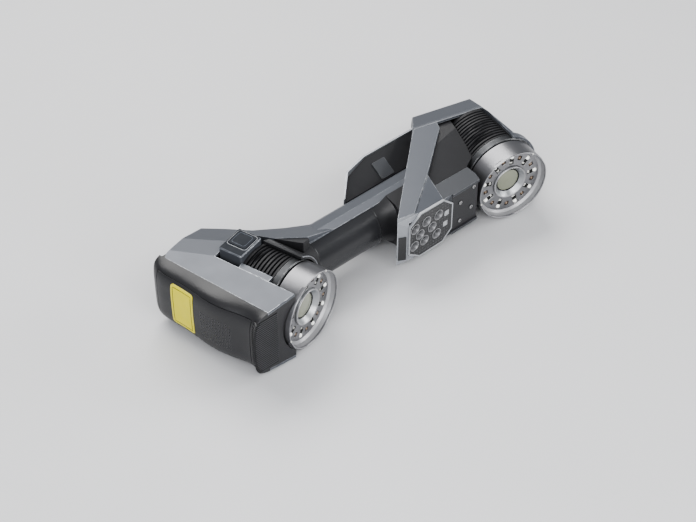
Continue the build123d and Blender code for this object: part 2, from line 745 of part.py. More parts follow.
def side_wall():
    """Wall round the outer side of the upper camera, with a lip over the collar."""
    with BuildPart() as wall:
        with BuildSketch(UPPER_CAM.offset(-72)):
            Circle(R_FRAME)
            with Locations((50.5, LEFT_MID)):
                Rectangle(80, LEFT_MASK, mode=Mode.INTERSECT)
        extrude(amount=44.6)
        split(bisect_by=flank(0), keep=Keep.BOTTOM)
        add(camera_room(), mode=Mode.SUBTRACT)
        with BuildSketch(UPPER_CAM.offset(-27.6)):
            Circle(35.8)
            with Locations((50.5, LEFT_MID)):
                Rectangle(80, LEFT_MASK, mode=Mode.INTERSECT)
            Circle(R_FRAME - WALL, mode=Mode.SUBTRACT)
        extrude(amount=6.2)
    return wall.part


def cross_band():
    """Painted strip that lies on the upper body."""
    with BuildPart() as band:
        add(prism(BAND_PLAN, [tilted(F_BAND)], z0=SEAM))
        add(prism(rect_plan(-40, 140, -10, 120), core_top(-GAP), z0=-5), mode=Mode.SUBTRACT)
    return band.part


def barrel_drum():
    """Clearance for the upper barrel with its cut flank."""
    with BuildPart() as drum:
        with BuildSketch(UPPER_CAM.offset(-70.25)):
            Circle(33.6)
        extrude(amount=90)
        split(bisect_by=flank(2.5), keep=Keep.BOTTOM)
    return drum.part


# painted side frames: rear cap, wall beside the upper camera, cross band
with BuildPart() as frame_left:
    with BuildSketch(UPPER_CAM.offset(-FRAME_BACK)):
        Circle(R_FRAME)
        with Locations((-28.6, 0)):
            Rectangle(57.2, 66.4)
        with Locations((0, LEFT_MID)):
            Rectangle(200, LEFT_MASK, mode=Mode.INTERSECT)
    extrude(amount=26.6)
    for cut in frame_cuts():
        split(bisect_by=cut, keep=Keep.BOTTOM)
    add(prism(CAP_PLAN, z0=-1), mode=Mode.INTERSECT)
    add(cap_hollow(), mode=Mode.SUBTRACT)
    add(side_wall())
    add(cross_band())
    add(barrel_drum(), mode=Mode.SUBTRACT)
PARTS["side_frame_left"] = frame_left.part
PARTS["side_frame_right"] = mirrored(frame_left.part)

# ================================================================ projector
upper_ring_room = disc(UPPER_CAM, 34.2, -90, 12)


def hood_arm():
    """Left arm that carries the hood to the upper camera."""
    with BuildPart() as arm:
        add(prism(ARM_PLAN, z0=ARM_TOP - 2.4, top=ARM_TOP))
        add(prism(ARM_ROOT_PLAN, top=ARM_TOP))
        add(upper_ring_room, mode=Mode.SUBTRACT)
    return arm.part


with BuildPart() as hood:
    add(prism(HOOD_PLAN, [tilted(F_POD)] + HOOD_BEVELS))
    add(hood_arm())
    mirror(about=Plane.XY)
    add(bay_box(), mode=Mode.SUBTRACT)
PARTS["projector_hood"] = hood.part

# beam between the arms, with four screws in its front face (x and z)
SCREWS = [(57, 7), (72, 16), (70, -4.3), (57, -12)]
with BuildPart() as beam:
    add(prism(BEAM_PLAN, z0=-18.9, top=18.9))
    add(upper_ring_room, mode=Mode.SUBTRACT)
    with BuildSketch(at_y(12)):
        with Locations(*SCREWS):
            Circle(1.15)
    extrude(amount=6, mode=Mode.SUBTRACT)
PARTS["beam_core"] = beam.part

with BuildPart() as screws:
    with BuildSketch(at_y(11.9)):
        with Locations(*SCREWS):
            Circle(1.0)
    extrude(amount=3.3)
PARTS["beam_screws"] = screws.part

# Front panel outline, and centres of its round and square windows, x and z
PANEL = [(-2, -13.5), (-2, 13.5), (10, 21.7), (35.5, 21.3), (45.5, 12.8), (45.5, -12.8),
         (35.5, -21.3), (10, -21.7)]
WINDOWS = [(30, 10.1), (16.3, 10.8), (3.4, 9.7), (22.9, 1.4), (9.3, 1.0), (28.6, -9),
           (14.5, -8), (3.2, -8.1)]
INDICATORS = [(39.5, 6.9), (38.5, -3.8)]

with BuildPart() as bezel:
    with BuildSketch(at_y(9.1)):
        with BuildLine():
            Polyline(*PANEL, close=True)
        make_face()
        offset(amount=1.2, kind=Kind.INTERSECTION)
        with BuildLine():
            Polyline(*PANEL, close=True)
        make_face(mode=Mode.SUBTRACT)
    extrude(amount=1.8)
PARTS["projector_bezel"] = bezel.part

with BuildPart() as panel:
    with BuildSketch(at_y(9.05)):
        with BuildLine():
            Polyline(*PANEL, close=True)
        make_face()
        offset(amount=-0.1, kind=Kind.INTERSECTION)
        with Locations(*WINDOWS):
            Circle(4.8, mode=Mode.SUBTRACT)
        with Locations(*INDICATORS):
            Rectangle(4.2, 4.2, mode=Mode.SUBTRACT)
    extrude(amount=1.5)
PARTS["projector_panel"] = panel.part

with BuildPart() as windows:
    with BuildSketch(at_y(11.9)):
        with Locations(*WINDOWS):
            Circle(4.3)
    extrude(amount=1.0)
PARTS["projector_windows"] = windows.part

with BuildPart() as indicators:
    with BuildSketch(at_y(9.0)):
        with Locations(*INDICATORS):
            Rectangle(4.0, 4.0)
    extrude(amount=1.5)
PARTS["indicator_windows"] = indicators.part

# laser modules, one behind each round window, hollow at the front
with BuildPart() as lasers:
    with BuildSketch(at_y(20.5)):
        with Locations(*WINDOWS):
            Circle(4.72)
    extrude(amount=12.8)
    with BuildSketch(at_y(12.0)):
        with Locations(*WINDOWS):
            Circle(4.35)
    extrude(amount=5, mode=Mode.SUBTRACT)
PARTS["laser_modules"] = lasers.part

# inlay on the slanting front of the hood, at its handle end
INLAY = Plane(origin=(-7.2, 11.1, -7), x_dir=(7.6, -4.15, 0), z_dir=(-4.15, -7.6, 0))
with BuildPart() as inlay:
    with BuildSketch(INLAY.offset(0.05)):
        Rectangle(6.6, 24)
    extrude(amount=0.7)
PARTS["side_inlay"] = inlay.part

# ================================================================ control unit
# Plan outlines, x and y
WING_PLAN = [(-15.6, 70.2), (1.6, 85.1), (25.5, 91.1), (80.9, 91.1), (72.9, 82.9), (57.5, 70.2)]
RIM_PLAN = [(-17.5, 70.2), (0.6, 86.8), (25, 93.2), (83.0, 93.2), (81.2, 91.4), (25.3, 91.4),
            (1.4, 85.4), (-15.9, 70.2)]
KEYS_X = 49             # middle of the row of three rear keys
KEY_PITCH = 12
KEYS = [(KEYS_X + KEY_PITCH * step, 0) for step in (-1, 0, 1)]

with BuildPart() as wing:
    add(prism(WING_PLAN, [tilted(F_WING)]))
    mirror(about=Plane.XY)
    with BuildSketch(at_y(95)):
        with Locations((48, 0)):
            Rectangle(44, 15)
    extrude(amount=19, mode=Mode.SUBTRACT)
PARTS["control_housing"] = wing.part

# thin rim over the rear of the control unit, bevelled at its handle end
with BuildPart() as rim:
    add(prism(RIM_PLAN, top=24.4))
    split(bisect_by=plane_through((1, 86, 24.4), (-17, 70, 14), (-17, 71, 14.0)),
          keep=Keep.BOTTOM)
    mirror(about=Plane.XY)
    with BuildSketch(at_y(96)):
        with Locations(*KEYS):
            RectangleRounded(8.6, 12.6, 2.2)
    extrude(amount=8, mode=Mode.SUBTRACT)
PARTS["control_rim"] = rim.part

for number, place in enumerate(KEYS, start=1):
    with BuildPart() as rear_key:
        with BuildSketch(at_y(90.2)):
            with Locations(place):
                RectangleRounded(8.4, 12.4, 2.1)
        extrude(amount=-4.6)
        fillet(rear_key.faces().sort_by(Axis.Y)[-1].edges(), radius=0.6)
    PARTS["rear_key_%d" % number] = rear_key.part

with BuildPart() as key_board:
    with BuildSketch(at_y(86.5)):
        with Locations((KEYS_X, 0)):
            Rectangle(38, 14)
    extrude(amount=-1.6)
PARTS["key_board"] = key_board.part

# one badge on each sloping side
BADGE = Plane(origin=(34, 78, 15.05), x_dir=(1, 0, 0), z_dir=(0, -F_WING[2], 1))
with BuildPart() as badges:
    with BuildSketch(BADGE):
        RectangleRounded(14, 15.8, 1)
    extrude(amount=1.0)
    mirror(about=Plane.XY)
PARTS["control_badges"] = badges.part

# ================================================================ insides of the lower head
BOARD_PLAN = [(-178.5, 47), (-161, 47), (-165, 93), (-184.5, 93)]
with BuildPart() as main_board:
    with BuildSketch(Plane.XY.offset(-1)):
        with BuildLine():
            Polyline(*BOARD_PLAN, close=True)
        make_face()
    extrude(amount=1.6)
    with BuildSketch(Plane.XY.offset(0.6)):
        with Locations((-171, 60), (-174, 80)):
            Rectangle(10, 10)
    extrude(amount=1.5)
PARTS["main_board"] = main_board.part

# fan frame with a hub on two crossed bars, and its rotor
FAN = Plane(origin=(-159.3, 9, 0), x_dir=(1, 0, 0), z_dir=(0, -1, 0))
with BuildPart() as fan_frame:
    with BuildSketch(FAN):
        RectangleRounded(17, 17, 1.5)
        Circle(7.9, mode=Mode.SUBTRACT)
    extrude(amount=6)
    with BuildSketch(FAN):
        Circle(3)
        Rectangle(16.4, 1.6)
        Rectangle(1.6, 16.4)
        Circle(1.2, mode=Mode.SUBTRACT)
    extrude(amount=1.2)
PARTS["fan_frame"] = fan_frame.part

with BuildPart() as fan_rotor:
    with BuildSketch(FAN.offset(1.6)):
        Circle(3.4)
        with PolarLocations(5.0, 7):
            Rectangle(4.6, 1.2, rotation=20)
    extrude(amount=3.6)
    with BuildSketch(FAN.offset(0.1)):
        Circle(1.16)
    extrude(amount=1.6)
PARTS["fan_rotor"] = fan_rotor.part

# cable socket in the rear wall of the lower head
SOCKET = Plane(origin=(SOCKET_X, 104, 0), x_dir=(1, 0, 0), z_dir=(0, 1, 0))
with BuildPart() as socket:
    with BuildSketch(SOCKET):
        Circle(7.9)
        Circle(6.0, mode=Mode.SUBTRACT)
    extrude(amount=10)
    with BuildSketch(SOCKET):
        Circle(6.5)
    extrude(amount=1.5)
PARTS["cable_socket"] = socket.part

# ================================================================ export
# Move everything so that the origin lies on the resting plane under the body's middle.
boxes = [part.bounding_box() for part in PARTS.values()]
low = [min(tuple(box.min)[k] for box in boxes) for k in range(3)]
high = [max(tuple(box.max)[k] for box in boxes) for k in range(3)]
SHIFT = (-(low[0] + high[0]) / 2, -(low[1] + high[1]) / 2, -low[2])
for name, part in PARTS.items():
    placed = part.moved(Location(SHIFT))
    placed.label = name
    export_step(placed, "parts/" + name + ".step")
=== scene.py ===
# A hand-held 3D scanner lying on a floor: two ring-lamp heads ("lower" at -X, "upper" at +X)
# on a beam, with a grip between them. The lamps face -Y, which is the front, and +Z is up.
# Sizes are in millimetres, measured from the middle of the two lamp-ring faces.
import bpy
import bmesh
import json
import math
from mathutils import Matrix, Vector
from mathutils.bvhtree import BVHTree


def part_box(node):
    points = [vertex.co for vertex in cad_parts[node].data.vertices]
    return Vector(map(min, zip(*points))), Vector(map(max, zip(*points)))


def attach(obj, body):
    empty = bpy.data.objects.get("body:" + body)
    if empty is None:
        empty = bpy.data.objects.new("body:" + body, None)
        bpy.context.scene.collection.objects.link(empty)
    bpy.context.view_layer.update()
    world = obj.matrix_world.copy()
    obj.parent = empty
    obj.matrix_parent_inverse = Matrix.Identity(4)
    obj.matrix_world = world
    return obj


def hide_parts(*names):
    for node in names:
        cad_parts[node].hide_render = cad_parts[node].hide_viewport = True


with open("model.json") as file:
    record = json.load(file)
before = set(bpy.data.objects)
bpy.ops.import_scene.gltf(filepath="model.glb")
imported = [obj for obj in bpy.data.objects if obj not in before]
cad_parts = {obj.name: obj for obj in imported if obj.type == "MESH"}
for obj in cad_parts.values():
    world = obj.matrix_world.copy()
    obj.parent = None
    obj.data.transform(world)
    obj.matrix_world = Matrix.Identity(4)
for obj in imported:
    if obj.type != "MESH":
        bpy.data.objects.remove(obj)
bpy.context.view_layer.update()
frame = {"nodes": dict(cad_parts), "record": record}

MM = 0.001                     # metres in a millimetre
TOE = math.radians(14.4)       # each head turns this much towards the other
HEAD_X = 112.3                 # head axes, left and right of the middle
RING_DEPTH = 9                 # ring face ahead of its mount, along the head's axis

mounts = {mount["name"]: mount["pos_m"] for mount in frame["record"]["mounts"]}
lower_mount, upper_mount = mounts["lower_lens_ring"], mounts["upper_lens_ring"]
ORIGIN = Vector(((lower_mount[0] + upper_mount[0]) / 2,
                 lower_mount[1] - RING_DEPTH * MM * math.cos(TOE),
                 lower_mount[2]))


# ------------------------------------------------------------------ places
def place(x, y, z):
    """Point in the scanner's millimetres -> metres in the frame."""
    return Vector((x * MM, y * MM, z * MM)) + ORIGIN


def head_frame(x, turn):
    """Frame at a ring face: x across, y up, z forwards out of the lamp."""
    cos, sin = math.cos(turn), math.sin(turn)
    centre = place(x, 0, 0)
    return Matrix(((cos, 0, sin, centre.x), (sin, 0, -cos, centre.y),
                   (0, 1, 0, centre.z), (0, 0, 0, 1)))


HEADS = {"lower": head_frame(-HEAD_X, TOE), "upper": head_frame(HEAD_X, -TOE)}


def on_head(side, across, up, forward):
    return HEADS[side] @ Vector((across * MM, up * MM, forward * MM))


def on_ring(side, degrees, radius, z=0.0):
    """Frame on the lamp circle: x radial, y round, z forwards."""
    turn = Matrix.Rotation(math.radians(degrees), 4, "Z")
    return HEADS[side] @ turn @ Matrix.Translation(Vector((radius * MM, 0, z * MM)))


def facing_front(x, z):
    """Frame at y = 0 whose x runs along X, y up and z towards -Y."""
    return Matrix.Translation(place(x, 0, z)) @ Matrix.Rotation(math.radians(90), 4, "X")


# ------------------------------------------------------------------ materials
def make_material(name, color, rough, metal=0.0, tint_var=0.06, rough_var=0.1, grain=60.0,
                  bump=0.0, bump_scale=900.0, wear_and_sheen=0.0, wear_and_sheen_color=None, wear_and_sheen_rough=0.35,
                  edge=0.0006, coat=0.0, specular=0.5, glow=0.0, glow_color=None):
    """Mottled surface; grain is its noise scale, edge the width of the lighter corners in metres,
    which are partly wear and partly a painted highlight along the edges.
    """
    material = bpy.data.materials.new(name)
    material.use_nodes = True
    nodes, links = material.node_tree.nodes, material.node_tree.links
    nodes.clear()

    def add(kind, inputs, **settings):
        node = nodes.new("ShaderNode" + kind)
        for key, value in settings.items():
            setattr(node, key, value)
        for key, value in inputs.items():
            if isinstance(value, bpy.types.NodeSocket):
                links.new(value, node.inputs[key])
            else:
                node.inputs[key].default_value = value
        return node

    def noise(scale, detail):
        inputs = {"Scale": scale, "Detail": detail, "Vector": coords.outputs["Object"]}
        return add("TexNoise", inputs).outputs["Fac"]

    def remap(value, from_min, from_max, to_min=0.0, to_max=1.0):
        return add("MapRange", {"From Min": from_min, "From Max": from_max, "To Min": to_min,
                                "To Max": to_max, "Value": value}).outputs[0]

    def mix(kind, factor, first, second, blend="MIX"):
        return add("Mix", {"Factor": factor, "A": first, "B": second},
                   data_type=kind, blend_type=blend).outputs["Result"]

    output = add("OutputMaterial", {})
    shader = add("BsdfPrincipled", {"Metallic": metal, "Specular IOR Level": specular,
                                    "Coat Weight": coat, "Coat Roughness": 0.08})
    links.new(shader.outputs[0], output.inputs[0])
    coords = add("TexCoord", {})
    tint = remap(noise(grain, detail=5), 0.25, 0.75, 1 - tint_var, 1 + tint_var)
    base = mix("RGBA", 1, (*color, 1), tint, blend="MULTIPLY")
    # the roughness noise is finer than the tint's
    roughness = remap(noise(grain * 3.1, detail=6), 0.3, 0.7, rough - rough_var, rough + rough_var)
    if wear_and_sheen:
        # corners, lighter as wear and as a painted highlight along the edges, show where the
        # bevelled normal leaves the true one, broken up by noise
        bevel = add("Bevel", {"Radius": edge}, samples=4)
        geometry = add("NewGeometry", {})
        facing = add("VectorMath", {0: bevel.outputs[0], 1: geometry.outputs["Normal"]},
                     operation="DOT_PRODUCT")
        corner = remap(facing.outputs["Value"], 0.995, 0.90, 0, wear_and_sheen)
        patches = remap(noise(220, detail=8), 0.35, 0.6)
        worn_and_sheen = add("Math", {0: corner, 1: patches}, operation="MULTIPLY").outputs[0]
        base = mix("RGBA", worn_and_sheen, base, (*wear_and_sheen_color, 1))
        roughness = mix("FLOAT", worn_and_sheen, roughness, wear_and_sheen_rough)
    links.new(base, shader.inputs["Base Color"])
    links.new(roughness, shader.inputs["Roughness"])
    if glow:
        shader.inputs["Emission Color"].default_value = (*glow_color, 1)
        shader.inputs["Emission Strength"].default_value = glow
    if bump:
        relief = add("Bump", {"Height": noise(bump_scale, detail=3), "Strength": bump,
                              "Distance": 0.0002})
        links.new(relief.outputs[0], shader.inputs["Normal"])
    return material


# what the paint and its darker and lighter copies (painted shade, painted highlight) share; their
# light edge colour is a painted highlight along the edges
PAINT = dict(rough=0.40, grain=20, tint_var=0.03, rough_var=0.03, bump=0.08, bump_scale=2600,
             wear_and_sheen=0.8, wear_and_sheen_rough=0.3)
LOOKS = {
    "painted": dict(PAINT, color=(0.098, 0.105, 0.120), metal=0.35,
                    wear_and_sheen_color=(0.55, 0.57, 0.6), edge=0.0009),
    "black_plastic": dict(color=(0.021, 0.021, 0.023), rough=0.38, grain=20, rough_var=0.02,
                          bump=0.35, bump_scale=2300, wear_and_sheen=0.25, wear_and_sheen_color=(0.06, 0.06, 0.065)),
    "gloss_black": dict(color=(0.006, 0.006, 0.007), rough=0.13, rough_var=0.04, bump=0.03,
                        bump_scale=500, coat=0.6, wear_and_sheen=0.3, wear_and_sheen_color=(0.08, 0.08, 0.09)),
    "ring_metal": dict(color=(0.20, 0.20, 0.21), rough=0.34, metal=0.85, grain=20, tint_var=0.03,
                       rough_var=0.02, bump=0.10, bump_scale=3200, wear_and_sheen=0.4,
                       wear_and_sheen_color=(0.7, 0.7, 0.7), wear_and_sheen_rough=0.3, edge=0.0003),
    "fin_metal": dict(color=(0.022, 0.022, 0.024), rough=0.52, metal=0.1, rough_var=0.06,
                      bump=0.12, bump_scale=2500, wear_and_sheen=0.5, wear_and_sheen_color=(0.10, 0.10, 0.11),
                      edge=0.0003, specular=0.3),
    "chrome": dict(color=(0.42, 0.43, 0.44), rough=0.38, metal=0.9, tint_var=0.03,
                   rough_var=0.06, bump=0.02, wear_and_sheen=0.3, wear_and_sheen_color=(0.85, 0.85, 0.85)),
    "steel": dict(color=(0.5, 0.5, 0.5), rough=0.3, metal=1.0, rough_var=0.08, bump=0.05),
    "lens_glass": dict(color=(0.19, 0.20, 0.14), rough=0.07, rough_var=0.03, coat=1.0,
                       specular=0.8),
    "clear_glass": dict(color=(0.018, 0.020, 0.022), rough=0.08, rough_var=0.03, coat=1.0),
    "white_lamp": dict(color=(0.85, 0.86, 0.82), rough=0.2, rough_var=0.05, coat=0.8,
                       glow=0.35, glow_color=(1, 1, 0.96)),
    "red_lamp": dict(color=(0.19, 0.13, 0.085), rough=0.22, rough_var=0.05, coat=0.8),
    "board": dict(color=(0.012, 0.06, 0.03), rough=0.4, bump=0.1),
    "grip": dict(color=(0.026, 0.0265, 0.029), rough=0.25, grain=20, tint_var=0.05,
                 rough_var=0.015, bump=0.2, bump_scale=3400, wear_and_sheen=0.15,
                 wear_and_sheen_color=(0.06, 0.06, 0.06)),
    "label": dict(color=(0.72, 0.64, 0.03), rough=0.38, tint_var=0.04, bump=0.05, wear_and_sheen=0.4,
                  wear_and_sheen_color=(0.9, 0.85, 0.6)),
    "bezel": dict(color=(0.36, 0.37, 0.39), rough=0.42, metal=0.35, rough_var=0.06, bump=0.08,
                  bump_scale=2400, wear_and_sheen=0.5, wear_and_sheen_color=(0.7, 0.7, 0.7)),
    "bright": dict(color=(0.40, 0.40, 0.41), rough=0.40, metal=0.55, grain=20, tint_var=0.03,
                   rough_var=0.02, bump=0.05, bump_scale=3000, wear_and_sheen=0.25,
                   wear_and_sheen_color=(0.75, 0.75, 0.75), edge=0.0003),
    "white_dim": dict(color=(0.6, 0.6, 0.56), rough=0.3, rough_var=0.05, coat=0.5),
    "funnel": dict(color=(0.30, 0.30, 0.31), rough=0.42, metal=0.7, rough_var=0.06, bump=0.06,
                   bump_scale=3000, wear_and_sheen=0.4, wear_and_sheen_color=(0.7, 0.7, 0.7)),
    "eyelet": dict(color=(0.10, 0.10, 0.105), rough=0.4, metal=0.2, rough_var=0.05, bump=0.05),
    # ribs a lighter grey than the black housing: painted highlight where they catch the light
    "rib": dict(color=(0.085, 0.086, 0.09), rough=0.38, metal=0.1, rough_var=0.05, bump=0.06,
                bump_scale=2500),
    "key_line": dict(color=(0.14, 0.16, 0.19), rough=0.3, metal=0.2, rough_var=0.05, bump=0.04),
    "band_gloss": dict(color=(0.03, 0.031, 0.033), rough=0.22, metal=0.1, rough_var=0.05,
                       bump=0.04, coat=0.5),
    "board_black": dict(color=(0.008, 0.009, 0.009), rough=0.4, rough_var=0.06, bump=0.08),
    # darker copy of the paint: painted shade on the hood's +X arms
    "painted_shade": dict(PAINT, color=(0.060, 0.063, 0.070), metal=0.45,
                         wear_and_sheen_color=(0.3, 0.31, 0.33), edge=0.0005),
    # lighter copy of the paint: painted highlight on the front facets that catch the light
    "painted_highlight": dict(PAINT, color=(0.30, 0.31, 0.33), metal=0.45,
                          wear_and_sheen_color=(0.6, 0.62, 0.65), edge=0.0005),
    "indicator": dict(color=(0.34, 0.35, 0.36), rough=0.25, rough_var=0.05, coat=0.6),
    # light grey for beads and rims: painted highlight along lit edges
    "rim_highlight": dict(color=(0.30, 0.31, 0.33), rough=0.36, metal=0.6, rough_var=0.05, bump=0.08,
                      bump_scale=2600, wear_and_sheen=0.7, wear_and_sheen_color=(0.7, 0.72, 0.75)),
    "key_pad": dict(color=(0.018, 0.021, 0.027), rough=0.55, rough_var=0.05, bump=0.06,
                    bump_scale=2500, specular=0.18, wear_and_sheen=0.3, wear_and_sheen_color=(0.08, 0.09, 0.1)),
    "screw": dict(color=(0.05, 0.05, 0.055), rough=0.3, metal=0.9, rough_var=0.08, bump=0.06,
                  wear_and_sheen=0.5, wear_and_sheen_color=(0.4, 0.4, 0.4)),
    # near-black for the lamp pits and screw sockets: painted shade in these hollows
    "shade_black": dict(color=(0.004, 0.004, 0.004), rough=0.7, bump=0.05),
    "dark_cone": dict(color=(0.008, 0.008, 0.009), rough=0.35, metal=0.2, rough_var=0.06,
                      bump=0.1, bump_scale=2400),
    "badge": dict(color=(0.085, 0.088, 0.095), rough=0.35, metal=0.4, rough_var=0.06, bump=0.08,
                  bump_scale=2400, wear_and_sheen=0.4, wear_and_sheen_color=(0.5, 0.5, 0.5)),
    "mask_metal": dict(color=(0.27, 0.27, 0.28), rough=0.34, metal=0.85, rough_var=0.08,
                       bump=0.15, bump_scale=2600, wear_and_sheen=0.5, wear_and_sheen_color=(0.6, 0.6, 0.6)),
    "vent_black": dict(color=(0.008, 0.008, 0.009), rough=0.5, bump=0.3, bump_scale=2300),
    "ink": dict(color=(0.015, 0.015, 0.012), rough=0.5, bump=0.1),
    "collar": dict(color=(0.06, 0.062, 0.066), rough=0.4, metal=0.7, rough_var=0.08, bump=0.16,
                   bump_scale=3000, wear_and_sheen=0.6, wear_and_sheen_color=(0.6, 0.6, 0.6)),
}
MATERIALS = {name: make_material(name, **look) for name, look in LOOKS.items()}


def set_material(thing, material):
    thing.data.materials.clear()
    thing.data.materials.append(material)


# ------------------------------------------------------------------ finishes of the CAD pieces
EDGE_WIDTHS = {"painted": 0.55, "black_plastic": 0.5, "gloss_black": 0.25, "grip": 0.3,
               "badge": 0.2, "bezel": 0.25}
SHARP_NODES = {"end_panel", "warning_label", "lower_lamp_mask", "upper_lamp_mask"}
EDGE_ANGLE = math.radians(28)


def finish_nodes():
    finishes = {part["node"]: part["material_slot"] for part in frame["record"]["subparts"]}
    finishes.update({node: "collar" for node in finishes if node.endswith("_collar")})
    # the control unit's rim gets the light rim finish: painted highlight along its edge
    finishes.update(projector_bezel="bezel", side_key="key_pad", lower_lamp_board="board_black",
                    upper_lamp_board="board_black", indicator_windows="indicator",
                    control_rim="rim_highlight")
    for name, node in frame["nodes"].items():
        finish = finishes[name]
        set_material(node, MATERIALS[finish])
        if finish in EDGE_WIDTHS and name not in SHARP_NODES:
            bevel = node.modifiers.new("edge", "BEVEL")
            bevel.width = EDGE_WIDTHS[finish] * MM
            bevel.segments = 2
            bevel.limit_method = "ANGLE"
            bevel.angle_limit = EDGE_ANGLE
        node.modifiers.new("wn", "WEIGHTED_NORMAL").keep_sharp = True


def shade_faces(node_name, finish, test):
    """Second finish on the faces whose centre (mm) and normal pass the test."""
    mesh = frame["nodes"][node_name].data
    mesh.materials.append(MATERIALS[finish])
    for face in mesh.polygons:
        if test((face.center - ORIGIN) / MM, face.normal):
            face.material_index = len(mesh.materials) - 1


finish_nodes()
# top of the key block; +X part of the hood darker as painted shade; front faces of the hood and
# side frames lighter as painted highlight
shade_faces("key_block", "key_pad", lambda centre, normal: normal.z > 0.9 and centre.z > 30)
shade_faces("projector_hood", "painted_shade", lambda centre, normal: centre.x > 41)
shade_faces("projector_hood", "painted_highlight",
            lambda centre, normal: centre.x <= 16 and normal.y < -0.15 and centre.y < 15)
for frame_name in ("side_frame_left", "side_frame_right"):
    shade_faces(frame_name, "painted_highlight",
                lambda centre, normal: normal.y < -0.4 and centre.x < 8 and centre.y < 16)


# ------------------------------------------------------------------ mesh tools
def piece(name, mesh, finish, body="scanner"):
    """Turn a bmesh into a named object that rides on a body."""
    bmesh.ops.recalc_face_normals(mesh, faces=mesh.faces[:])
    data = bpy.data.meshes.new(name)
    mesh.to_mesh(data)
    mesh.free()
    thing = bpy.data.objects.new(name, data)
    bpy.context.scene.collection.objects.link(thing)
    set_material(thing, MATERIALS[finish])
    for face in data.polygons:
        face.use_smooth = True
    thing.modifiers.new("split", "EDGE_SPLIT").split_angle = math.radians(40)
    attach(thing, body)
    return thing


def lathe(mesh, profile, matrix, segments, start=0.0, end=2 * math.pi):
    """Turn a closed profile [(radius, z)] about the z axis of matrix."""
    full = abs(end - start - 2 * math.pi) < 1e-6
    count = segments if full else segments + 1
    rows = []
    for k in range(count):
        angle = start + (end - start) * k / segments
        row = []
        for i, (radius, z) in enumerate(profile):
            if radius < 1e-6 and full and k:
                row.append(rows[0][i])      # points on the axis are shared
            else:
                row.append(mesh.verts.new(matrix @ Vector((
                    radius * MM * math.cos(angle), radius * MM * math.sin(angle), z * MM))))
        rows.append(row)
    for k in range(segments):
        here, there = rows[k], rows[(k + 1) % count]
        for i in range(len(profile)):
            j = (i + 1) % len(profile)
            corners = list(dict.fromkeys((here[i], there[i], there[j], here[j])))
            if len(corners) >= 3:
                mesh.faces.new(corners)
    if not full:
        mesh.faces.new(rows[0])
        mesh.faces.new(rows[-1][::-1])
    return mesh


def dome(radius, base, height, steps, bottom):
    """Lathe profile of a dome on a plug that reaches down to bottom."""
    angles = [math.pi / 2 * k / steps for k in range(steps + 1)]
    curve = [(radius * math.sin(a), base + height * math.cos(a)) for a in angles]
    return curve + [(radius, bottom), (0, bottom)]


def bead(mesh, points, radius, sides=8, closed=True):
    """Round bead along points given in metres."""
    count = len(points)
    rings = []
    for i, point in enumerate(points):
        before = points[i - 1] if closed or i else point
        after = points[(i + 1) % count] if closed or i < count - 1 else point
        along = (after - before).normalized()
        helper = Vector((0, 0, 1)) if abs(along.z) < 0.9 else Vector((1, 0, 0))
        side = along.cross(helper).normalized()
        top = along.cross(side).normalized()
        angles = [2 * math.pi * k / sides for k in range(sides)]
        rings.append([mesh.verts.new(
            point + (side * math.cos(a) + top * math.sin(a)) * radius * MM) for a in angles])
    for i in range(count if closed else count - 1):
        here, there = rings[i], rings[(i + 1) % count]
        for k in range(sides):
            j = (k + 1) % sides
            mesh.faces.new([here[k], here[j], there[j], there[k]])
    if not closed:
        mesh.faces.new(rings[0][::-1])
        mesh.faces.new(rings[-1])
    return mesh


def prism(mesh, first, second):
    """Closed solid between two matching loops of points in metres."""
    first, second = [[mesh.verts.new(point) for point in loop] for loop in (first, second)]
    for i in range(len(first)):
        j = (i + 1) % len(first)
        mesh.faces.new([first[i], first[j], second[j], second[i]])
    mesh.faces.new(second)
    mesh.faces.new(first[::-1])


def round_rect(matrix, width, height, corner, steps=5, z=0.0):
    """Rounded rectangle in the xy plane of matrix, raised by z."""
    x, y = width / 2 - corner, height / 2 - corner
    points = []
    for cx, cy, start in ((x, y, 0), (-x, y, 90), (-x, -y, 180), (x, -y, 270)):
        for k in range(steps + 1):
            angle = math.radians(start + 90 * k / steps)
            points.append(matrix @ Vector(((cx + corner * math.cos(angle)) * MM,
                                           (cy + corner * math.sin(angle)) * MM, z * MM)))
    return points


# ------------------------------------------------------------------ lamp heads
# name, finish, slot, segments, profile (radius, z forwards of the ring face)
HEAD_RINGS = [
    ("lens_retainer", "dark_cone", "chrome", 72,
     [(10.1, -9.2), (10.4, -8.75), (11.1, -8.6), (11.1, -9.0), (11.1, -9.5), (10.3, -9.5)]),
    ("flare_lip", "bright", "chrome", 72,
     [(14.4, -5.35), (14.7, -5.0), (15.1, -4.95), (15.45, -5.3), (15.45, -5.7), (14.7, -5.7)]),
    ("thread_1", "ring_metal", "ring_metal", 96,
     [(31.92, -0.6), (31.6, -0.8), (31.6, -1.0), (31.92, -1.2)]),
    # bead on the ring's front lip, in a lighter finish than the ring: painted highlight along the
    # lip
    ("ring_bead", "bright", "ring_metal", 128,
     [(32.15, -0.2), (32.2, 0.06), (32.4, 0.2), (32.65, 0.06), (32.7, -0.2), (32.4, -0.4)]),
    # cone between the lamp plate and the ring's lip
    ("reflector", "bright", "ring_metal", 128,
     [(29.2, -6.75), (30.9, -4.9), (31.1, -4.9), (31.8, -1.5), (31.86, -1.5), (31.86, -6.75)]),
]
LENS = dome(radius=11.1, base=-9.6, height=1.3, steps=9, bottom=-11.8)
INDEX_DOT = dome(radius=0.8, base=0.05, height=0.5, steps=4, bottom=-0.6)
LAMP_LENS = dome(radius=1.75, base=-6.75, height=1.1, steps=5, bottom=-7.4)
LAMP_SPOT = dome(radius=0.8, base=-7.3, height=0.5, steps=4, bottom=-7.5)
AMBER_DOME = dome(radius=1.25, base=-7.15, height=0.8, steps=4, bottom=-7.5)
